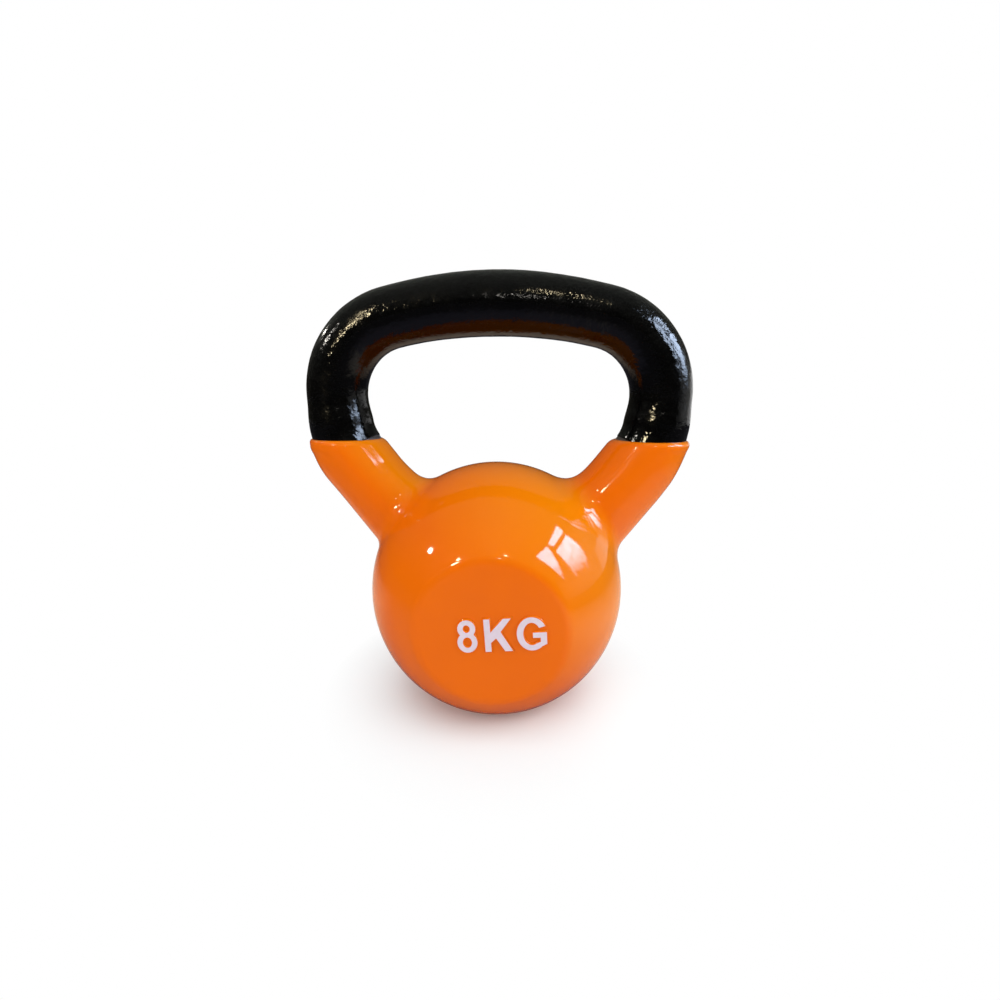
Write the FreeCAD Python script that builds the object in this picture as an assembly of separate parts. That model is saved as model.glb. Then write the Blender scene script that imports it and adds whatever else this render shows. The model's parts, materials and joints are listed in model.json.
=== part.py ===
import FreeCAD
import Part
import math
import os

# Kettlebell, 8 kg: one iron casting (ball, two horns and handle loop), black enamel
# baked on the handle, and a soft vinyl coat dipped over the ball and the horns.
# Millimetres. +Z is up, the handle loop lies in the XZ plane and the front flat
# faces -Y. The origin is the centre of the coated base, on the floor.

# The ball: bare iron, distances taken from the ball's centre
BALL_RADIUS = 60.4
FLAT_DISTANCE = 51.6
BASE_DISTANCE = 52.1
FLAT_EDGE_ROUND = 6.0
BASE_EDGE_ROUND = 6.0

# The handle loop's centreline, from its top centre down one side to the ball: four
# arcs and a straight run, each tangent to the next. Turns are in degrees.
HANDLE_TOP = 134.8
CROWN_RADIUS, CROWN_TURN = 207.0, 13.6
CORNER_RADIUS, CORNER_TURN = 36.0, 77.7
SIDE_RADIUS, SIDE_TURN = 111.0, 6.7
KNEE_RADIUS, KNEE_TURN = 38.0, 28.9
HORN_LENGTH = 42.0

# The iron's own radius along that line: it is thinnest where the grip turns down into
# its corners and thickest where the horns run into the ball
CROWN_IRON = 13.7
CORNER_START_IRON = 13.2
CORNER_END_IRON = 13.7
KNEE_START_IRON = 14.6
KNEE_END_IRON = 15.5
HORN_END_IRON = 15.8
HORN_ROOT_ROUND = 10.0

# The two finishes
COAT_THICKNESS = 1.9
COAT_TOP = 74.1
COAT_LIP_ROUND = 1.2
ENAMEL_THICKNESS = 0.3
ENAMEL_UNDER_COAT = 6.0

# The coated base stands on the floor, so the ball's centre is this high
CENTRE_HEIGHT = BASE_DISTANCE + COAT_THICKNESS
CENTRE = FreeCAD.Vector(0, 0, CENTRE_HEIGHT)

# How the shapes are made: loft sections in each run of the loop, the sphere's seam
# turned clear of the horns and flats, a length past everything, and a tolerance
SECTIONS_PER_RUN = 6
SEAM_TURN = 45.0
FAR = 400.0
TINY = 0.01


def arc_runs():
    """The arcs of one side as (centre x, centre z, radius, first heading, turn)."""
    runs = []
    x, z, heading = 0.0, CENTRE_HEIGHT + HANDLE_TOP, 0.0
    for radius, turn in (
        (CROWN_RADIUS, CROWN_TURN),
        (CORNER_RADIUS, CORNER_TURN),
        (SIDE_RADIUS, SIDE_TURN),
        (KNEE_RADIUS, KNEE_TURN),
    ):
        centre_x = x - radius * math.sin(heading)
        centre_z = z - radius * math.cos(heading)
        runs.append((centre_x, centre_z, radius, heading, math.radians(turn)))
        heading += math.radians(turn)
        x = centre_x + radius * math.sin(heading)
        z = centre_z + radius * math.cos(heading)
    return runs, x, z, heading


def side_sections():
    """Sections of one side, top centre first, as (x, z, heading, iron radius)."""
    runs, end_x, end_z, end_heading = arc_runs()
    iron = (CROWN_IRON, CORNER_START_IRON, CORNER_END_IRON, KNEE_START_IRON, KNEE_END_IRON)
    sections = []
    for index, (centre_x, centre_z, radius, heading, turn) in enumerate(runs):
        for step in range(SECTIONS_PER_RUN):
            share = step / SECTIONS_PER_RUN
            ease = (1.0 - math.cos(math.pi * share)) / 2.0
            angle = heading + turn * share
            x = centre_x + radius * math.sin(angle)
            z = centre_z + radius * math.cos(angle)
            sections.append((x, z, angle, iron[index] + (iron[index + 1] - iron[index]) * ease))
    for step in range(SECTIONS_PER_RUN + 1):
        share = step / SECTIONS_PER_RUN
        x = end_x + HORN_LENGTH * share * math.cos(end_heading)
        z = end_z - HORN_LENGTH * share * math.sin(end_heading)
        sections.append((x, z, end_heading, KNEE_END_IRON + (HORN_END_IRON - KNEE_END_IRON) * share))
    return sections


def ring(x, z, heading, radius):
    """A circle square to the centreline, the start of one loft section."""
    along = FreeCAD.Vector(math.cos(heading), 0, -math.sin(heading))
    return Part.Wire(Part.makeCircle(radius, FreeCAD.Vector(x, 0, z), along))


def loop_tube(extra):
    """The whole handle loop and both horns, the iron's radius plus extra."""
    right = side_sections()
    left = [(-x, z, -heading, radius) for x, z, heading, radius in reversed(right[1:])]
    rings = [ring(x, z, heading, radius + extra) for x, z, heading, radius in left + right]
    return Part.makeLoft(rings, True, False)


def flat_ring_edges(shape, size_along):
    """Edges that lie in a plane square to one axis: size_along picks the box size."""
    return [edge for edge in shape.Edges if size_along(edge.BoundBox) < TINY and edge.Length > 1.0]


def ball(extra):
    """The ball with its front and back flats and its base, grown by extra."""
    shape = Part.makeSphere(BALL_RADIUS + extra)
    shape.rotate(FreeCAD.Vector(0, 0, 0), FreeCAD.Vector(0, 0, 1), SEAM_TURN)
    shape.translate(CENTRE)
    flat = FLAT_DISTANCE + extra
    base = BASE_DISTANCE + extra
    corner = FreeCAD.Vector(-FAR, -flat, CENTRE_HEIGHT - base)
    shape = shape.common(Part.makeBox(2 * FAR, 2 * flat, 2 * FAR, corner))
    flats = flat_ring_edges(shape, lambda box: box.YLength)
    shape = shape.makeFillet(FLAT_EDGE_ROUND + extra, flats)
    rim = flat_ring_edges(shape, lambda box: box.ZLength)
    return shape.makeFillet(BASE_EDGE_ROUND + extra, rim)


def root_edges(shape, radius):
    """Edges where a horn runs into the ball: on the ball's surface, above its middle."""
    edges = []
    for edge in shape.Edges:
        if edge.Length < 1.0 or abs(edge.CenterOfMass.x) < BALL_RADIUS / 2:
            continue
        spots = edge.discretize(5)
        on_ball = all(abs((spot - CENTRE).Length - radius) < 5 * TINY for spot in spots)
        high = all(spot.z > CENTRE_HEIGHT + BALL_RADIUS / 4 for spot in spots)
        if on_ball and high:
            edges.append(edge)
    return edges


def bell(extra):
    """Ball, horns and loop as one body, grown by extra, with rounded horn roots."""
    shape = ball(extra).fuse(loop_tube(extra))
    return shape.makeFillet(HORN_ROOT_ROUND, root_edges(shape, BALL_RADIUS + extra))


def above(height):
    """Everything higher than height above the ball's centre."""
    corner = FreeCAD.Vector(-FAR, -FAR, CENTRE_HEIGHT + height)
    return Part.makeBox(2 * FAR, 2 * FAR, FAR, corner)


def iron_casting():
    """The one iron casting that is the ball, both horns and the grip."""
    return bell(0.0)


def handle_enamel(casting):
    """Black enamel on the grip, ending a little way under the vinyl coat."""
    return loop_tube(ENAMEL_THICKNESS).common(above(COAT_TOP - ENAMEL_UNDER_COAT)).cut(casting)


def vinyl_coat(casting, enamel):
    """The dipped skin over ball, base and horns, with a rounded lip at its top."""
    shape = bell(COAT_THICKNESS).cut(above(COAT_TOP))
    lip_height = CENTRE_HEIGHT + COAT_TOP
    rims = flat_ring_edges(shape, lambda box: box.ZLength + abs(box.ZMax - lip_height))
    return shape.makeFillet(COAT_LIP_ROUND, rims).cut(casting).cut(enamel)


def write(name, shape):
    solids = shape.Solids
    solid = solids[0] if len(solids) == 1 else shape
    solid.exportStep("parts/" + name + ".step")
    print(name, len(solids), "solid,", round(solid.Volume / 1000.0, 1), "cm3, valid", solid.isValid())


os.makedirs("parts", exist_ok=True)
iron = iron_casting()
black = handle_enamel(iron)
skin = vinyl_coat(iron, black)
write("iron_casting", iron)
write("handle_enamel", black)
write("vinyl_coat", skin)
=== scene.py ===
import json
import math

import bmesh
import bpy
import numpy as np
from mathutils import Matrix, Vector, noise

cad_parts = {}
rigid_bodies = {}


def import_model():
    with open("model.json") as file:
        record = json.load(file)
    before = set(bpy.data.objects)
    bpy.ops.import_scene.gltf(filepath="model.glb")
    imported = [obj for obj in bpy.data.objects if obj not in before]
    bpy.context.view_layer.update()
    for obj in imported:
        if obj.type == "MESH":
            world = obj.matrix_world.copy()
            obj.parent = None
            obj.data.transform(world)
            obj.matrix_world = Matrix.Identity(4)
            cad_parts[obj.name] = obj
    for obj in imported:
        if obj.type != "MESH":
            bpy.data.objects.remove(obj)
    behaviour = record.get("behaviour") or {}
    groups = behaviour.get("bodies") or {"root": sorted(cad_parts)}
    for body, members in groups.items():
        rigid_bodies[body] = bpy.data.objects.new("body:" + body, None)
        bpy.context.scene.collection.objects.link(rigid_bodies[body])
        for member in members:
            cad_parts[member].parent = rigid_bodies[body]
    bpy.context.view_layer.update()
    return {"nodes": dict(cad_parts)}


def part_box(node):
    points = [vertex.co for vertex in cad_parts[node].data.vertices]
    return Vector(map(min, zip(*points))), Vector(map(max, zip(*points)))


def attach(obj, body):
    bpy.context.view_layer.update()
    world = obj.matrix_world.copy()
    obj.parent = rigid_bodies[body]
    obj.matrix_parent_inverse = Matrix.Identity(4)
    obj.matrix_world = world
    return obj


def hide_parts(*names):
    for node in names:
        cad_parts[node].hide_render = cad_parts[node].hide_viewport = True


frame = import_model()
for start_up_object in [o for o in bpy.data.objects if o.name in ("Cube", "Light", "Camera")]:
    bpy.data.objects.remove(start_up_object)


# ------------------------------------------------------------------------------
# Vinyl coat: soft orange PVC, about 2 mm thick. The painted casting is warmed,
# hung by its handle and dipped into liquid plastisol up to the horns' tops, then
# cured, so the skin is one glossy surface that melts over every corner of the iron.
# ------------------------------------------------------------------------------
_, coat_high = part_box("vinyl_coat")
BALL_RADIUS = 0.0623
BALL_HEIGHT = 0.0540
FLAT_REACH = coat_high.y
DIP_LINE = coat_high.z
COAT_THICKNESS = 0.0019
FLAT_SOFTNESS = 0.0012
BASE_SOFTNESS = 0.0016

# The lip at the dip line: how rounded it is, and the bead that the draining vinyl
# leaves a little way below it on the horn's outer side. Where a value has two sides,
# -1 is the left horn and 1 the right.
LIP_SOFTNESS = 0.0025
LIP_BEAD = 0.00040
LIP_BEAD_DEPTH = {-1: 0.0048, 1: 0.0026}
LIP_BEAD_WIDTH = 0.0020

# The horns' roots: how softly they melt into the ball under and over the horn, and
# how much fuller the casting is there, from ROOT_START to ROOT_END below the lip.
UNDER_HORN_BLEND = {-1: 0.0030, 1: 0.0050}
OVER_HORN_BLEND = {-1: 0.0090, 1: 0.0110}
ROOT_START = 0.010
ROOT_END = 0.030
LIP_INSIDE = {-1: -0.0008, 1: 0.0}
ROOT_INSIDE = {-1: 0.0026, 1: 0.0022}
ROOT_OUTSIDE = {-1: -0.0006, 1: 0.0011}

# The mesh: squares of this size, evened out over a number of rounds, and finer squares
# from the lip down to LIP_FINE_DEPTH
BODY_GRID = 0.00105
BODY_ROUNDS = 12
BODY_EASING = 0.6
LIP_FINE_DEPTH = 0.0045
LIP_ROUNDS = 6
LIP_EASING = 0.4
STUMP_ROWS = 12
STUMP_ROUND = 48

# The handle loop's centreline from its top centre down one side: four arcs, each
# (radius, turn in degrees), then a straight run into the ball.
LOOP_TOP = BALL_HEIGHT + 0.1348
LOOP_BENDS = ((0.2070, 13.6), (0.0360, 77.7), (0.1110, 6.7), (0.0380, 28.9))
HORN_RUN = 0.042
IRON_RADII = (0.0137, 0.0132, 0.0137, 0.0146, 0.0155, 0.0158)


def loop_arcs():
    """The four arcs as (centre x, centre z, radius, heading, turn, distance so far)."""
    arcs = []
    x, z, heading, reach = 0.0, LOOP_TOP, 0.0, 0.0
    for radius, degrees in LOOP_BENDS:
        turn = math.radians(degrees)
        centre_x = x - radius * math.sin(heading)
        centre_z = z - radius * math.cos(heading)
        arcs.append((centre_x, centre_z, radius, heading, turn, reach))
        heading += turn
        reach += radius * turn
        x = centre_x + radius * math.sin(heading)
        z = centre_z + radius * math.cos(heading)
    return arcs, (x, z, heading, reach)


ARCS, (HORN_X, HORN_Z, HORN_HEADING, HORN_START) = loop_arcs()
IRON_STOPS = [arc[5] for arc in ARCS] + [HORN_START, HORN_START + HORN_RUN]


def iron_radius(along):
    """The bare iron's radius at a distance along the centreline, eased between stops."""
    stop = np.clip(np.searchsorted(IRON_STOPS, along, side="right") - 1, 0, len(IRON_STOPS) - 2)
    stops = np.array(IRON_STOPS)
    radii = np.array(IRON_RADII)
    share = np.clip((along - stops[stop]) / (stops[stop + 1] - stops[stop]), 0.0, 1.0)
    eased = np.where(stop == len(IRON_STOPS) - 2, share, (1.0 - np.cos(math.pi * share)) / 2.0)
    return radii[stop] + (radii[stop + 1] - radii[stop]) * eased


def near_loop(points):
    """Distance to the centreline, distance along it, and how far to the loop's inside."""
    x, y, z = np.abs(points[:, 0]), points[:, 1], points[:, 2]
    distance = np.full(len(points), np.inf)
    along = np.zeros(len(points))
    inside = np.zeros(len(points))
    runs = []
    for centre_x, centre_z, radius, heading, turn, reach in ARCS:
        angle = np.clip(np.arctan2(x - centre_x, z - centre_z), heading, heading + turn)
        runs.append(
            (
                centre_x + radius * np.sin(angle),
                centre_z + radius * np.cos(angle),
                angle,
                reach + radius * (angle - heading),
            )
        )
    straight = (x - HORN_X) * math.cos(HORN_HEADING) - (z - HORN_Z) * math.sin(HORN_HEADING)
    straight = np.clip(straight, 0.0, HORN_RUN)
    runs.append(
        (
            HORN_X + straight * math.cos(HORN_HEADING),
            HORN_Z - straight * math.sin(HORN_HEADING),
            np.full(len(points), HORN_HEADING),
            HORN_START + straight,
        )
    )
    for near_x, near_z, angle, reach in runs:
        gap = np.sqrt((x - near_x) ** 2 + y**2 + (z - near_z) ** 2)
        inward = -(x - near_x) * np.sin(angle) - (z - near_z) * np.cos(angle)
        closer = gap < distance
        distance = np.where(closer, gap, distance)
        along = np.where(closer, reach, along)
        inside = np.where(closer, inward / np.maximum(gap, 1e-6), inside)
    return distance, along, inside


def soft_join(a, b, width):
    """Two solids melted into one: the lower of two distances, rounded over width."""
    overlap = np.maximum(width - np.abs(a - b), 0.0)
    return np.minimum(a, b) - overlap**2 / (4.0 * width)


def soft_cut(a, b, width):
    """One solid trimmed by another: the higher of two distances, rounded over width."""
    return -soft_join(-a, -b, width)


def coat_distance(points):
    """How far each point is outside the coat's skin, below zero within it."""
    from_centre = points - np.array([0.0, 0.0, BALL_HEIGHT])
    ball = np.linalg.norm(from_centre, axis=1) - BALL_RADIUS
    ball = soft_cut(ball, np.abs(points[:, 1]) - FLAT_REACH, FLAT_SOFTNESS)
    ball = soft_cut(ball, -points[:, 2], BASE_SOFTNESS)
    gap, along, inside = near_loop(points)
    drop = DIP_LINE - points[:, 2]
    skin = iron_radius(along) + COAT_THICKNESS
    root = np.clip((drop - ROOT_START) / (ROOT_END - ROOT_START), 0.0, 1.0)
    root = root * root * (3.0 - 2.0 * root)
    over = np.clip(0.5 + 0.6 * inside, 0.0, 1.0)
    bead_depth, lip_inside, root_inside, root_outside = (
        np.where(points[:, 0] > 0.0, sides[1], sides[-1])
        for sides in (LIP_BEAD_DEPTH, LIP_INSIDE, ROOT_INSIDE, ROOT_OUTSIDE)
    )
    under_blend, over_blend = (
        np.where(points[:, 0] > 0.0, sides[1], sides[-1])
        for sides in (UNDER_HORN_BLEND, OVER_HORN_BLEND)
    )
    bead = LIP_BEAD * np.clip(0.3 - inside, 0.0, 1.0)
    skin = skin + bead * np.exp(-(((drop - bead_depth) / LIP_BEAD_WIDTH) ** 2))
    skin = skin + np.clip(inside, 0.0, 1.0) ** 2 * (lip_inside + (root_inside - lip_inside) * root)
    skin = skin + np.clip(-inside, 0.0, 1.0) ** 2 * root_outside * root
    blend = under_blend + (over_blend - under_blend) * over
    return soft_cut(soft_join(ball, gap - skin, blend), -drop, LIP_SOFTNESS)


def slope(points, distance_to):
    """Which way a distance grows fastest at each point."""
    nudge = 0.00002
    ways = []
    for axis in range(3):
        step = np.zeros(3)
        step[axis] = nudge
        ways.append((distance_to(points + step) - distance_to(points - step)) / (2.0 * nudge))
    return np.stack(ways, axis=1)


def settle(points, distance_to, times):
    """Points moved onto the skin, where the distance is nought."""
    longest_step = 0.002
    least_slope = 0.1
    for _ in range(times):
        way = slope(points, distance_to)
        size = np.maximum((way**2).sum(axis=1), least_slope)
        step = np.clip(distance_to(points), -longest_step, longest_step)
        points = points - way * (step / size)[:, None]
    return points


def relax(points, edges, share):
    """Each point drawn towards the middle of its neighbours, to even out the mesh."""
    count = np.bincount(edges.ravel(), minlength=len(points))
    middle = np.zeros_like(points)
    for axis in range(3):
        total = np.bincount(edges[:, 0], points[edges[:, 1], axis], len(points))
        total += np.bincount(edges[:, 1], points[edges[:, 0], axis], len(points))
        middle[:, axis] = total / count
    return points + (middle - points) * share


def read_points(mesh):
    """A mesh's points as rows of x, y and z."""
    flat = np.empty(len(mesh.vertices) * 3)
    mesh.vertices.foreach_get("co", flat)
    return flat.reshape(-1, 3)


def read_edges(mesh):
    """A mesh's edges as rows of two point numbers."""
    flat = np.empty(len(mesh.edges) * 2, int)
    mesh.edges.foreach_get("vertices", flat)
    return flat.reshape(-1, 2)


def write_points(mesh, points):
    """Puts the points back into their mesh."""
    mesh.vertices.foreach_set("co", points.ravel())
    mesh.update()


def add_piece(name, mesh):
    """A new object in the scene."""
    piece = bpy.data.objects.new(name, mesh)
    bpy.context.scene.collection.objects.link(piece)
    return piece


def ring_points(x, z, heading, radius, count):
    """A circle of points square to the centreline."""
    points = []
    for step in range(count):
        angle = 2.0 * math.pi * step / count
        outward = radius * math.cos(angle)
        across = radius * math.sin(angle)
        points.append((x + outward * math.sin(heading), across, z + outward * math.cos(heading)))
    return points


def loop_place(along):
    """Where the right half of the centreline is at a distance along it, and its heading."""
    for centre_x, centre_z, radius, heading, turn, reach in ARCS:
        if along <= reach + radius * turn:
            angle = heading + (along - reach) / radius
            return centre_x + radius * math.sin(angle), centre_z + radius * math.cos(angle), angle
    run = along - HORN_START
    x = HORN_X + run * math.cos(HORN_HEADING)
    return x, HORN_Z - run * math.sin(HORN_HEADING), HORN_HEADING


def add_tube(bm, rings):
    """Rings of points joined into a closed tube."""
    loops = [[bm.verts.new(point) for point in ring] for ring in rings]
    count = len(loops[0])
    for first, second in zip(loops, loops[1:]):
        for i in range(count):
            j = (i + 1) % count
            bm.faces.new((first[i], first[j], second[j], second[i]))
    bm.faces.new(list(reversed(loops[0])))
    bm.faces.new(loops[-1])


def coat_blank():
    """Ball and horn stumps as one closed mesh of even squares, to settle on the skin."""
    bm = bmesh.new()
    bmesh.ops.create_icosphere(
        bm, subdivisions=5, radius=BALL_RADIUS, matrix=Matrix.Translation((0, 0, BALL_HEIGHT))
    )
    stump_start = IRON_STOPS[3]
    for side in (1, -1):
        rings = []
        for step in range(STUMP_ROWS + 1):
            along = stump_start + (HORN_START + HORN_RUN - stump_start) * step / STUMP_ROWS
            x, z, heading = loop_place(along)
            radius = float(iron_radius(np.array([along]))[0]) + COAT_THICKNESS
            ring = ring_points(x, z, heading, radius, STUMP_ROUND)
            rings.append([(side * px, py, pz) for px, py, pz in ring])
        add_tube(bm, rings)
    bmesh.ops.recalc_face_normals(bm, faces=bm.faces)
    mesh = bpy.data.meshes.new("coat_blank")
    bm.to_mesh(mesh)
    bm.free()
    blank = add_piece("coat_blank", mesh)
    remesh = blank.modifiers.new("even", "REMESH")
    remesh.mode = "VOXEL"
    remesh.voxel_size = BODY_GRID
    seen = blank.evaluated_get(bpy.context.evaluated_depsgraph_get())
    even = bpy.data.meshes.new_from_object(seen)
    bpy.data.objects.remove(blank)
    return even


def refine_lip(mesh, depth):
    """Squares near the dip line cut in four, for the lip's small radius."""
    bm = bmesh.new()
    bm.from_mesh(mesh)
    near = [e for e in bm.edges if all(v.co.z > DIP_LINE - depth for v in e.verts)]
    bmesh.ops.subdivide_edges(bm, edges=near, cuts=1, use_grid_fill=True)
    bm.to_mesh(mesh)
    bm.free()


coat_mesh = coat_blank()
coat_mesh.name = "vinyl_skin"
skin_points = settle(read_points(coat_mesh), coat_distance, 8)
for _ in range(BODY_ROUNDS):
    skin_points = settle(relax(skin_points, read_edges(coat_mesh), BODY_EASING), coat_distance, 1)
write_points(coat_mesh, skin_points)
refine_lip(coat_mesh, LIP_FINE_DEPTH)
skin_points = settle(read_points(coat_mesh), coat_distance, 3)
for _ in range(LIP_ROUNDS):
    skin_points = settle(relax(skin_points, read_edges(coat_mesh), LIP_EASING), coat_distance, 1)
skin_points = settle(skin_points, coat_distance, 3)
write_points(coat_mesh, skin_points)
coat_mesh.polygons.foreach_set("use_smooth", [True] * len(coat_mesh.polygons))
skin_normals = slope(skin_points, coat_distance)
skin_normals /= np.linalg.norm(skin_normals, axis=1)[:, None]
coat_mesh.normals_split_custom_set_from_vertices([tuple(n) for n in skin_normals])
vinyl_skin = add_piece("vinyl_skin", coat_mesh)

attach(vinyl_skin, "root")
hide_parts("vinyl_coat")


def new_material(name, roughness, ior):
    """A material with one Principled shader, and what is needed to wire into it."""
    material = bpy.data.materials.new(name)
    material.use_nodes = True
    nodes = material.node_tree.nodes
    shader = nodes["Principled BSDF"]
    shader.inputs["Roughness"].default_value = roughness
    shader.inputs["IOR"].default_value = ior
    return material, nodes, material.node_tree.links, shader


def add_noise(nodes, links, where, scale, detail):
    """Cloudy noise over the surface, scale in waves to the metre."""
    texture = nodes.new("ShaderNodeTexNoise")
    texture.inputs["Scale"].default_value = scale
    texture.inputs["Detail"].default_value = detail
    links.new(where, texture.inputs["Vector"])
    return texture.outputs["Fac"]


def add_range(nodes, links, value, low, high, to_low, to_high):
    """value stretched so that low..high becomes to_low..to_high, held at both ends."""
    stretch = nodes.new("ShaderNodeMapRange")
    stretch.inputs["From Min"].default_value = low
    stretch.inputs["From Max"].default_value = high
    stretch.inputs["To Min"].default_value = to_low
    stretch.inputs["To Max"].default_value = to_high
    links.new(value, stretch.inputs["Value"])
    return stretch.outputs["Result"]


def add_mix(nodes, links, share, first, second):
    """Two colours mixed by share. Each is a colour's numbers or another node's output."""
    mix = nodes.new("ShaderNodeMix")
    mix.data_type = "RGBA"
    for socket, colour in ((mix.inputs["A"], first), (mix.inputs["B"], second)):
        if isinstance(colour, tuple):
            socket.default_value = (*colour, 1.0)
        else:
            links.new(colour, socket)
    links.new(share, mix.inputs["Factor"])
    return mix.outputs["Result"]


def specks_group():
    """Dust and pigment flecks: small round marks, a few in every hundred cells."""
    group = bpy.data.node_groups.new("specks", "ShaderNodeTree")
    group.interface.new_socket("Position", in_out="INPUT", socket_type="NodeSocketVector")
    for name in ("Scale", "Size", "Scarcity"):
        group.interface.new_socket(name, in_out="INPUT", socket_type="NodeSocketFloat")
    group.interface.new_socket("Mask", in_out="OUTPUT", socket_type="NodeSocketFloat")
    nodes, links = group.nodes, group.links
    inlet = nodes.new("NodeGroupInput")
    outlet = nodes.new("NodeGroupOutput")
    cells = nodes.new("ShaderNodeTexVoronoi")
    links.new(inlet.outputs["Position"], cells.inputs["Vector"])
    links.new(inlet.outputs["Scale"], cells.inputs["Scale"])
    close = nodes.new("ShaderNodeMath")
    close.operation = "LESS_THAN"
    links.new(cells.outputs["Distance"], close.inputs[0])
    links.new(inlet.outputs["Size"], close.inputs[1])
    chosen = nodes.new("ShaderNodeMath")
    chosen.operation = "GREATER_THAN"
    links.new(cells.outputs["Color"], chosen.inputs[0])
    links.new(inlet.outputs["Scarcity"], chosen.inputs[1])
    both = nodes.new("ShaderNodeMath")
    both.operation = "MULTIPLY"
    links.new(close.outputs[0], both.inputs[0])
    links.new(chosen.outputs[0], both.inputs[1])
    links.new(both.outputs[0], outlet.inputs["Mask"])
    return group


SPECKS = specks_group()


def add_specks(nodes, links, where, scale, size, scarcity):
    """A mask of small round marks over the surface."""
    specks = nodes.new("ShaderNodeGroup")
    specks.node_tree = SPECKS
    links.new(where, specks.inputs["Position"])
    specks.inputs["Scale"].default_value = scale
    specks.inputs["Size"].default_value = size
    specks.inputs["Scarcity"].default_value = scarcity
    return specks.outputs["Mask"]


def add_bump(nodes, links, height, depth, strength, under=None):
    """Fine relief from a height, depth in metres, on top of the relief under it."""
    bump = nodes.new("ShaderNodeBump")
    bump.inputs["Distance"].default_value = depth
    bump.inputs["Strength"].default_value = strength
    links.new(height, bump.inputs["Height"])
    if under is not None:
        links.new(under, bump.inputs["Normal"])
    return bump.outputs["Normal"]


VINYL_DEEP = (0.725, 0.127, 0.0010)
VINYL_CLOUD = (0.690, 0.117, 0.0014)
# Painted light: a yellower orange laid on where the skin faces the daylight at the right and above,
# standing in for the stronger light there
VINYL_PAINTED_SUNLIT = (0.660, 0.178, 0.0012)
VINYL_FLECK = (0.10, 0.02, 0.004)
PAINTED_LIGHT_FACING = (0.75, 0.05, 0.65)


def vinyl_material():
    """Orange plastisol: glossy, a little cloudy, with painted light that turns it yellower where it
    faces the right and the top.
    """
    material, nodes, links, shader = new_material("orange_vinyl", 0.07, 1.42)
    geometry = nodes.new("ShaderNodeNewGeometry")
    where = geometry.outputs["Position"]
    cloud = add_range(nodes, links, add_noise(nodes, links, where, 28.0, 2.0), 0.3, 0.7, 0.0, 1.0)
    deep = add_mix(nodes, links, cloud, VINYL_DEEP, VINYL_CLOUD)
    # Painted light: the colour shifts towards the yellower orange as the normal turns to the right
    # and upwards, towards the daylight
    towards = nodes.new("ShaderNodeVectorMath")
    towards.operation = "DOT_PRODUCT"
    towards.inputs[1].default_value = PAINTED_LIGHT_FACING
    links.new(geometry.outputs["Normal"], towards.inputs[0])
    painted_lit_share = add_range(nodes, links, towards.outputs["Value"], 0.05, 0.85, 0.0, 1.0)
    orange = add_mix(nodes, links, painted_lit_share, deep, VINYL_PAINTED_SUNLIT)
    flecks = add_specks(nodes, links, where, 95.0, 0.055, 0.93)
    links.new(add_mix(nodes, links, flecks, orange, VINYL_FLECK), shader.inputs["Base Color"])
    smear = add_noise(nodes, links, where, 55.0, 4.0)
    links.new(add_range(nodes, links, smear, 0.35, 0.75, 0.05, 0.10), shader.inputs["Roughness"])
    wave = add_noise(nodes, links, where, 70.0, 1.0)
    links.new(add_bump(nodes, links, wave, 0.00008, 0.5), shader.inputs["Normal"])
    return material


vinyl_skin.data.materials.clear()
vinyl_skin.data.materials.append(vinyl_material())


# ------------------------------------------------------------------------------
# Handle: the bar of the iron casting, its sand-cast skin left slightly rough and
# covered with two coats of black gloss enamel before the ball is dipped. The
# enamel runs on a little way under the vinyl's lip.
# ------------------------------------------------------------------------------
ENAMEL_THICKNESS = 0.0003
ENAMEL_UNDER_COAT = 0.005
HANDLE_ROW = 0.0007
HANDLE_ROUND = 128
ENAMEL_BLACK = (0.0004, 0.0004, 0.0005)
ENAMEL_THIN = (0.0010, 0.0009, 0.0009)
ENAMEL_DUST = (0.05, 0.05, 0.055)
SWELL_HEIGHT = 0.00010
SWELL_SPACING = 0.016
PIT_HEIGHT = 0.000045
PIT_SPACING = 0.0026


def cast_skin(point):
    """Height of the sand-cast surface at a point: long swells and short pimples."""
    swell = noise.noise(point / SWELL_SPACING)
    pit = noise.noise(point / PIT_SPACING + Vector((7.0, 3.0, 5.0)))
    return SWELL_HEIGHT * swell + PIT_HEIGHT * pit


def handle_mesh():
    """The enamelled tube, from under one horn's lip over the top to the other's."""
    reach = IRON_STOPS[3]
    while loop_place(reach)[1] > DIP_LINE - ENAMEL_UNDER_COAT:
        reach += HANDLE_ROW
    rows = math.ceil(reach / HANDLE_ROW)
    rings = []
    for row in range(-rows, rows + 1):
        along = abs(row) * reach / rows
        side = 1.0 if row >= 0 else -1.0
        x, z, heading = loop_place(along)
        radius = float(iron_radius(np.array([along]))[0]) + ENAMEL_THICKNESS
        middle = Vector((side * x, 0.0, z))
        ring = []
        for px, py, pz in ring_points(x, z, heading, radius, HANDLE_ROUND):
            point = Vector((side * px, py, pz))
            out = (point - middle).normalized()
            ring.append(point + out * cast_skin(point))
        rings.append(ring)
    bm = bmesh.new()
    add_tube(bm, rings)
    bmesh.ops.recalc_face_normals(bm, faces=bm.faces)
    mesh = bpy.data.meshes.new("handle_enamel_skin")
    bm.to_mesh(mesh)
    bm.free()
    mesh.polygons.foreach_set("use_smooth", [True] * len(mesh.polygons))
    return mesh


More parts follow.
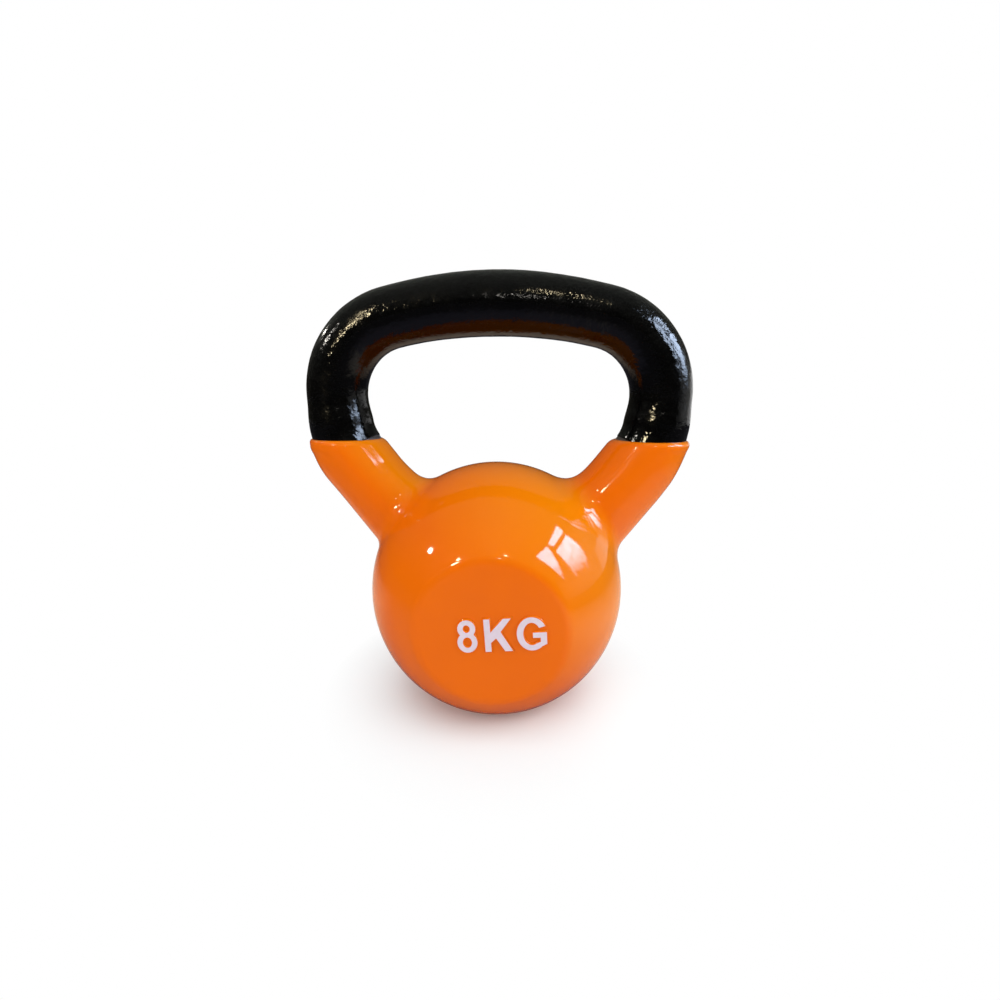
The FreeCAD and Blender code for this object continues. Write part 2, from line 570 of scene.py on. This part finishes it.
def enamel_material():
    """Black gloss enamel over a cast skin: fine pimples, thin dull patches, dust."""
    material, nodes, links, shader = new_material("black_enamel", 0.13, 1.36)
    where = nodes.new("ShaderNodeNewGeometry").outputs["Position"]
    cloud = add_range(nodes, links, add_noise(nodes, links, where, 60.0, 3.0), 0.35, 0.7, 0.0, 1.0)
    black = add_mix(nodes, links, cloud, ENAMEL_BLACK, ENAMEL_THIN)
    dust = add_specks(nodes, links, where, 260.0, 0.10, 0.95)
    links.new(add_mix(nodes, links, dust, black, ENAMEL_DUST), shader.inputs["Base Color"])
    dull = add_noise(nodes, links, where, 120.0, 5.0)
    links.new(add_range(nodes, links, dull, 0.4, 0.7, 0.06, 0.20), shader.inputs["Roughness"])
    grain = add_noise(nodes, links, where, 900.0, 3.0)
    fine = add_bump(nodes, links, grain, 0.00006, 1.0)
    pimples = add_noise(nodes, links, where, 380.0, 2.0)
    links.new(add_bump(nodes, links, pimples, 0.00022, 1.0, fine), shader.inputs["Normal"])
    return material


handle_skin = add_piece("handle_enamel_skin", handle_mesh())
handle_skin.data.materials.append(enamel_material())
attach(handle_skin, "root")
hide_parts("handle_enamel")


# ------------------------------------------------------------------------------
# Casting: grey iron poured in one piece, ball, horns and handle. It is sealed in
# by its two finishes, and shows its dark, grainy foundry skin only where they wear.
# ------------------------------------------------------------------------------
IRON_DARK = (0.05, 0.05, 0.052)
IRON_PALE = (0.14, 0.13, 0.125)


def iron_material():
    """Grey iron as cast: dark, mottled and grainy."""
    material, nodes, links, shader = new_material("grey_iron", 0.7, 1.45)
    shader.inputs["Metallic"].default_value = 0.8
    where = nodes.new("ShaderNodeNewGeometry").outputs["Position"]
    mottle = add_noise(nodes, links, where, 140.0, 6.0)
    links.new(add_mix(nodes, links, mottle, IRON_DARK, IRON_PALE), shader.inputs["Base Color"])
    links.new(add_range(nodes, links, mottle, 0.3, 0.7, 0.55, 0.85), shader.inputs["Roughness"])
    sand = add_noise(nodes, links, where, 1100.0, 4.0)
    links.new(add_bump(nodes, links, sand, 0.0002, 0.8), shader.inputs["Normal"])
    return material


casting = frame["nodes"]["iron_casting"]
casting.data.materials.clear()
casting.data.materials.append(iron_material())


# ------------------------------------------------------------------------------
# Weight mark: 8KG, standing out of the front flat. The figures are part of the
# casting and come through the vinyl as low relief; a roller prints their tops pale.
# ------------------------------------------------------------------------------
MARK_HEIGHT = 0.0143
MARK_CENTRE_X = 0.0045
MARK_CENTRE_Z = BALL_HEIGHT + 0.0002
MARK_TURN = math.radians(4.0)
RELIEF_HEIGHT = 0.0006
RELIEF_SPREAD = 0.00022
RELIEF_BEVEL = 0.0003
INK_HEIGHT = 0.00006
INK_BEVEL = 0.00003
INK_PALE = (0.64, 0.54, 0.62)
INK_THIN = (0.60, 0.49, 0.56)
STROKE = 0.166
ARC_STEPS = 40


def ellipse(centre_x, centre_y, half_width, half_height, start, end, steps):
    """Points along an ellipse between two angles, in degrees."""
    points = []
    for step in range(steps + 1):
        angle = math.radians(start + (end - start) * step / steps)
        x = centre_x + half_width * math.cos(angle)
        points.append((x, centre_y + half_height * math.sin(angle)))
    return points


def figure_eight():
    """Two stacked rings: the outline is the wider ring's edge at each height."""
    upper = (0.733, 0.252, 0.267)
    lower = (0.312, 0.282, 0.312)

    def half_width(height):
        widths = []
        for middle, wide, tall in (upper, lower):
            inside = 1.0 - ((height - middle) / tall) ** 2
            widths.append(wide * math.sqrt(inside) if inside > 0.0 else 0.0)
        return max(widths)

    turns = [math.pi * step / (2 * ARC_STEPS) for step in range(2 * ARC_STEPS + 1)]
    heights = [(1.0 - math.cos(turn)) / 2.0 for turn in turns]
    right = [(half_width(height), height) for height in heights]
    left = [(-x, y) for x, y in reversed(right[1:-1])]
    holes = []
    for middle, wide, tall in (upper, lower):
        hole = ellipse(0.0, middle, wide - STROKE * 0.90, tall - STROKE * 0.88, 0.0, 360.0, ARC_STEPS)
        holes.append(hole[:-1])
    return [right + left] + holes


def letter_k():
    """A stem with an arm rising from it and a leg falling from the arm."""
    return [
        [
            (0.0, 0.0),
            (STROKE, 0.0),
            (STROKE, 0.275),
            (0.323, 0.415),
            (0.560, 0.0),
            (0.775, 0.0),
            (0.455, 0.600),
            (0.765, 1.0),
            (0.555, 1.0),
            (STROKE, 0.580),
            (STROKE, 1.0),
            (0.0, 1.0),
        ]
    ]


def letter_g():
    """A round bowl open at the right, with a bar turned in to its middle."""
    wide, tall = 0.425, 0.510
    outer = ellipse(wide, 0.5, wide, tall, 27.0, 311.0, ARC_STEPS)
    inner = ellipse(wide, 0.5, wide - STROKE * 1.08, tall - STROKE * 0.97, 300.0, 32.0, ARC_STEPS)
    foot = [
        (0.840, 0.180),
        (0.840, 0.535),
        (0.455, 0.535),
        (0.455, 0.380),
        (0.668, 0.380),
        (0.668, 0.245),
    ]
    return [outer + foot + inner]


def mark_curve(name, spread, depth, bevel):
    """The characters as one flat curve, spread outwards and raised by depth.

    Each is its outlines, how far they reach left of its start, and the step to the next.
    """
    curve = bpy.data.curves.new(name, "CURVE")
    curve.dimensions = "2D"
    curve.fill_mode = "BOTH"
    curve.offset = spread
    curve.extrude = depth / 2.0
    curve.bevel_depth = bevel
    curve.bevel_resolution = 3
    start = 0.0
    eight = (figure_eight(), 0.282, 0.784)
    k = (letter_k(), 0.0, 0.915)
    g = (letter_g(), 0.0, 0.845)
    for outlines, left, step in (eight, k, g):
        for outline in outlines:
            spline = curve.splines.new("POLY")
            spline.points.add(len(outline) - 1)
            for point, (x, y) in zip(spline.points, outline):
                point.co = ((start + left + x) * MARK_HEIGHT, (y - 0.5) * MARK_HEIGHT, 0.0, 1.0)
            spline.use_cyclic_u = True
        start += step
    middle = start / 2.0 * MARK_HEIGHT
    for spline in curve.splines:
        for point in spline.points:
            point.co.x -= middle
    return curve


def mark_piece(name, spread, depth, bevel, out):
    """The mark as a closed mesh whose middle plane stands out from the flat by out."""
    curve = mark_curve(name + "_outline", spread, depth - 2.0 * bevel, bevel)
    outline = add_piece(name + "_outline", curve)
    seen = outline.evaluated_get(bpy.context.evaluated_depsgraph_get())
    mesh = bpy.data.meshes.new_from_object(seen)
    bpy.data.objects.remove(outline)
    mesh.name = name
    bm = bmesh.new()
    bm.from_mesh(mesh)
    bmesh.ops.remove_doubles(bm, verts=bm.verts, dist=0.000002)
    bmesh.ops.recalc_face_normals(bm, faces=bm.faces)
    bm.to_mesh(mesh)
    bm.free()
    stand = Matrix.Translation((MARK_CENTRE_X, -FLAT_REACH - out, MARK_CENTRE_Z))
    upright = Matrix.Rotation(math.radians(90.0), 4, "X")
    mesh.transform(stand @ upright @ Matrix.Rotation(MARK_TURN, 4, "Z"))
    return add_piece(name, mesh)


def ink_material():
    """Pale printing ink, rolled on: nearly white, a little thin in places."""
    material, nodes, links, shader = new_material("mark_ink", 0.42, 1.45)
    where = nodes.new("ShaderNodeNewGeometry").outputs["Position"]
    thin = add_range(nodes, links, add_noise(nodes, links, where, 420.0, 4.0), 0.35, 0.75, 0.0, 1.0)
    pale = add_mix(nodes, links, thin, INK_PALE, INK_THIN)
    links.new(pale, shader.inputs["Base Color"])
    links.new(add_range(nodes, links, thin, 0.0, 1.0, 0.36, 0.50), shader.inputs["Roughness"])
    grain = add_noise(nodes, links, where, 1500.0, 2.0)
    links.new(add_bump(nodes, links, grain, 0.00002, 0.5), shader.inputs["Normal"])
    return material


mark_relief = mark_piece(
    "weight_mark_relief", RELIEF_SPREAD, 2.0 * RELIEF_HEIGHT, RELIEF_BEVEL, 0.0
)
mark_relief.data.materials.append(vinyl_skin.data.materials[0])
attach(mark_relief, "root")

mark_ink = mark_piece("weight_mark_ink", 0.0, 2.0 * INK_HEIGHT, INK_BEVEL, RELIEF_HEIGHT)
mark_ink.data.materials.append(ink_material())
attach(mark_ink, "root")


# ------------------------------------------------------------------------------
# Studio: a pale floor and surround, daylight from a window to the right, a few
# small lamps to the left, and dark cards, seen in reflections only, that keep the
# gloss deep as in a dim room.
# ------------------------------------------------------------------------------
FLOOR_RADIUS = 4.0
FLOOR_WHITE = (0.79, 0.86, 0.90)
WHITE_START = 0.036
WHITE_END = 0.090
AMBIENT = 0.43
LAMP_DISTANCE = 1.5
TARGET = Vector((0.0, 0.0, 0.09))


def seen_directly(nodes, links):
    """1 for camera, glossy and transmission rays, which see the pale surround."""
    path = nodes.new("ShaderNodeLightPath")
    total = path.outputs["Is Camera Ray"]
    for name in ("Is Glossy Ray", "Is Transmission Ray"):
        either = nodes.new("ShaderNodeMath")
        either.operation = "MAXIMUM"
        links.new(total, either.inputs[0])
        links.new(path.outputs[name], either.inputs[1])
        total = either.outputs[0]
    return total


def floor_material():
    """Matt white card, lifted to the surround's white away from the object."""
    material, nodes, links, shader = new_material("pale_floor", 0.9, 1.45)
    shader.inputs["Base Color"].default_value = (*FLOOR_WHITE, 1.0)
    shader.inputs["Specular IOR Level"].default_value = 0.0
    where = nodes.new("ShaderNodeNewGeometry").outputs["Position"]
    length = nodes.new("ShaderNodeVectorMath")
    length.operation = "LENGTH"
    links.new(where, length.inputs[0])
    far = add_range(nodes, links, length.outputs["Value"], WHITE_START, WHITE_END, 0.0, 1.0)
    white = nodes.new("ShaderNodeEmission")
    gate = nodes.new("ShaderNodeMath")
    gate.operation = "MULTIPLY"
    links.new(far, gate.inputs[0])
    links.new(seen_directly(nodes, links), gate.inputs[1])
    blend = nodes.new("ShaderNodeMixShader")
    links.new(gate.outputs[0], blend.inputs["Fac"])
    links.new(shader.outputs["BSDF"], blend.inputs[1])
    links.new(white.outputs["Emission"], blend.inputs[2])
    links.new(blend.outputs["Shader"], nodes["Material Output"].inputs["Surface"])
    return material


def add_disc(name, radius, height):
    """A level disc at a height above the floor."""
    bm = bmesh.new()
    bmesh.ops.create_circle(
        bm, cap_ends=True, segments=96, radius=radius, matrix=Matrix.Translation((0.0, 0.0, height))
    )
    mesh = bpy.data.meshes.new(name)
    bm.to_mesh(mesh)
    bm.free()
    return add_piece(name, mesh)


floor = add_disc("floor", FLOOR_RADIUS, 0.0)
floor.data.materials.append(floor_material())

world = bpy.data.worlds.new("surround")
world.use_nodes = True
bpy.context.scene.world = world
world_nodes, world_links = world.node_tree.nodes, world.node_tree.links
surround = world_nodes["Background"]
surround.inputs["Strength"].default_value = 1.0
surround_share = seen_directly(world_nodes, world_links)
dim, white = (AMBIENT, AMBIENT, AMBIENT), (1.0, 1.0, 1.0)
surround_colour = add_mix(world_nodes, world_links, surround_share, dim, white)
world_links.new(surround_colour, surround.inputs["Color"])


def around(azimuth, elevation, distance):
    """A place seen from the object: azimuth 0 is the front, growing to the right."""
    turn, rise = math.radians(azimuth), math.radians(elevation)
    level = distance * math.cos(rise)
    height = distance * math.sin(rise)
    return TARGET + Vector((level * math.sin(turn), -level * math.cos(turn), height))


def add_lamp(name, place, size, power, colour, shape):
    """A flat lamp turned towards the object."""
    light = bpy.data.lights.new(name, "AREA")
    light.shape = shape
    light.size = size
    light.energy = power
    light.color = colour
    lamp = bpy.data.objects.new(name, light)
    bpy.context.scene.collection.objects.link(lamp)
    lamp.location = place
    lamp.rotation_euler = (TARGET - place).to_track_quat("-Z", "Y").to_euler()
    return lamp


# Soft light without a reflection of its own: from the window, the ceiling, the room at
# the left and the wall behind, as azimuth, elevation and power
SOFT_SIZE = 1.1
SOFT_WHITE = (1.0, 0.99, 0.96)
for name, azimuth, elevation, power in (
    ("daylight", 76.0, 24.0, 15.5),
    ("overhead", 15.0, 70.0, 9.2),
    ("room", -42.0, 22.0, 10.0),
    ("behind", 170.0, 30.0, 7.0),
):
    place = around(azimuth, elevation, LAMP_DISTANCE)
    soft = add_lamp(name, place, SOFT_SIZE, power, SOFT_WHITE, "SQUARE")
    soft.visible_glossy = False

# Small lamps that the gloss shows as points: azimuth, elevation, size, power and colour
BULB_WHITE = (1.0, 0.95, 0.86)
BULB_WARM = (1.0, 0.84, 0.52)
for azimuth, elevation, size, power, colour in (
    (-71.0, 30.0, 0.12, 2.6, BULB_WHITE),
    (-37.0, 34.0, 0.10, 2.0, BULB_WARM),
    (-31.0, 21.5, 0.16, 6.0, BULB_WARM),
    (12.0, 42.0, 0.07, 1.4, BULB_WARM),
    (3.0, 24.0, 0.07, 0.4, BULB_WHITE),
    (-111.0, 30.0, 0.03, 1.2, BULB_WHITE),
):
    place = around(azimuth, elevation, LAMP_DISTANCE)
    bulb = add_lamp("bulb", place, size, power, colour, "DISK")
    bulb.visible_diffuse = False

# The window's panes, as corners in azimuth and elevation
WINDOW_PANES = (
    ((45.0, 37.0), (63.0, 40.0), (64.0, 11.0)),
    ((68.0, 33.0), (92.0, 35.0), (96.0, 22.0), (95.0, 8.0), (76.0, 10.0)),
    ((66.0, 41.0), (93.0, 44.0), (93.0, 38.0), (69.0, 37.0)),
)
WINDOW_LIGHT = 24.0
WINDOW_BLUE = (0.62, 0.76, 1.0)

# The cards round the object, which only its gloss sees
DOME_RADIUS = 2.2
DOME_STEP = 10
DOME_OPEN_ROWS = 2
DOME_OPEN_FROM = 110
DOME_OPEN_TO = 150
CLOTH_LOW = (0.060, 0.055, 0.045)
CLOTH_HIGH = (0.34, 0.34, 0.30)
CLOTH_BY_WINDOW = (0.85, 0.83, 0.80)
TABLE_RADIUS = 2.1
TABLE_HEIGHT = 0.0003
TABLE_DIM = (0.17, 0.17, 0.24)
TABLE_PALE = (0.74, 0.69, 0.62)
TABLE_BEHIND = (0.74, 0.58, 0.46)
TABLE_FAR = (0.05, 0.05, 0.06)


def reflections_only(piece):
    """A studio card that glossy surfaces see and nothing else does."""
    piece.visible_camera = False
    piece.visible_diffuse = False
    piece.visible_shadow = False


def window_material():
    """Daylight through glass, broken up low down by what stands outside."""
    material, nodes, links, _ = new_material("window_daylight", 1.0, 1.45)
    where = nodes.new("ShaderNodeNewGeometry").outputs["Position"]
    split = nodes.new("ShaderNodeSeparateXYZ")
    links.new(where, split.inputs["Vector"])
    height = add_range(nodes, links, split.outputs["Z"], 0.25, 0.75, -0.35, 0.45)
    leaves = nodes.new("ShaderNodeMath")
    links.new(height, leaves.inputs[0])
    links.new(add_noise(nodes, links, where, 12.0, 5.0), leaves.inputs[1])
    light = nodes.new("ShaderNodeEmission")
    light.inputs["Color"].default_value = (*WINDOW_BLUE, 1.0)
    strength = add_range(nodes, links, leaves.outputs[0], 0.28, 1.00, 0.0, WINDOW_LIGHT)
    links.new(strength, light.inputs["Strength"])
    links.new(light.outputs["Emission"], nodes["Material Output"].inputs["Surface"])
    return material


def window_panes():
    """The panes as flat faces at the lamps' distance."""
    bm = bmesh.new()
    for corners in WINDOW_PANES:
        bm.faces.new([bm.verts.new(around(turn, rise, LAMP_DISTANCE)) for turn, rise in corners])
    mesh = bpy.data.meshes.new("window")
    bm.to_mesh(mesh)
    bm.free()
    return add_piece("window", mesh)


window = window_panes()
window.data.materials.append(window_material())
reflections_only(window)


def dark_card():
    """A dome of dark cloth, paler overhead and by the window, open low at the right rear."""
    bm = bmesh.new()
    rows = []
    turns = range(-180, 181, DOME_STEP)
    for rise in range(-DOME_STEP, 91, DOME_STEP):
        rows.append([bm.verts.new(around(turn, rise, DOME_RADIUS)) for turn in turns])
    for row in range(len(rows) - 1):
        for i in range(len(turns) - 1):
            if row < DOME_OPEN_ROWS and DOME_OPEN_FROM <= turns[i] < DOME_OPEN_TO:
                continue
            low, high = rows[row], rows[row + 1]
            bm.faces.new((low[i], low[i + 1], high[i + 1], high[i]))
    mesh = bpy.data.meshes.new("dark_card")
    bm.to_mesh(mesh)
    bm.free()
    card = add_piece("dark_card", mesh)
    material, nodes, links, shader = new_material("dark_cloth", 1.0, 1.45)
    shader.inputs["Specular IOR Level"].default_value = 0.0
    split = nodes.new("ShaderNodeSeparateXYZ")
    links.new(nodes.new("ShaderNodeNewGeometry").outputs["Position"], split.inputs["Vector"])
    high = add_range(nodes, links, split.outputs["Z"], 0.3, 2.1, 0.0, 1.0)
    cloth = add_mix(nodes, links, high, CLOTH_LOW, CLOTH_HIGH)
    right = add_range(nodes, links, split.outputs["X"], 1.70, 2.15, 0.0, 1.0)
    links.new(add_mix(nodes, links, right, cloth, CLOTH_BY_WINDOW), shader.inputs["Base Color"])
    card.data.materials.append(material)
    return card


def table_card():
    """A cloth on the floor: dim at the left, pale at the right and behind, dark far off."""
    card = add_disc("table_card", TABLE_RADIUS, TABLE_HEIGHT)
    material, nodes, links, shader = new_material("table_cloth", 1.0, 1.45)
    shader.inputs["Specular IOR Level"].default_value = 0.0
    where = nodes.new("ShaderNodeNewGeometry").outputs["Position"]
    split = nodes.new("ShaderNodeSeparateXYZ")
    links.new(where, split.inputs["Vector"])
    right = add_range(nodes, links, split.outputs["X"], 0.035, 0.14, 0.0, 1.0)
    front = add_mix(nodes, links, right, TABLE_DIM, TABLE_PALE)
    behind = add_range(nodes, links, split.outputs["Y"], -0.02, 0.04, 0.0, 1.0)
    near = add_mix(nodes, links, behind, front, TABLE_BEHIND)
    away = nodes.new("ShaderNodeVectorMath")
    away.operation = "LENGTH"
    links.new(where, away.inputs[0])
    far = add_range(nodes, links, away.outputs["Value"], 0.16, 0.42, 0.0, 1.0)
    links.new(add_mix(nodes, links, far, near, TABLE_FAR), shader.inputs["Base Color"])
    card.data.materials.append(material)
    return card


reflections_only(dark_card())
reflections_only(table_card())

# The camera: close to the object, a little above it and to its right
CAMERA_PLACE = (0.0102, -0.2210, 0.1489)
CAMERA_TURN = (76.96, -0.13, 2.27)
CAMERA_LENS = 16.42
camera_data = bpy.data.cameras.new("camera")
camera_data.lens = CAMERA_LENS
camera_data.sensor_width = 36.0
camera_data.clip_start = 0.01
camera = bpy.data.objects.new("camera", camera_data)
bpy.context.scene.collection.objects.link(camera)
camera.location = CAMERA_PLACE
camera.rotation_euler = [math.radians(angle) for angle in CAMERA_TURN]
bpy.context.scene.camera = camera
bpy.context.scene.view_settings.view_transform = "Standard"
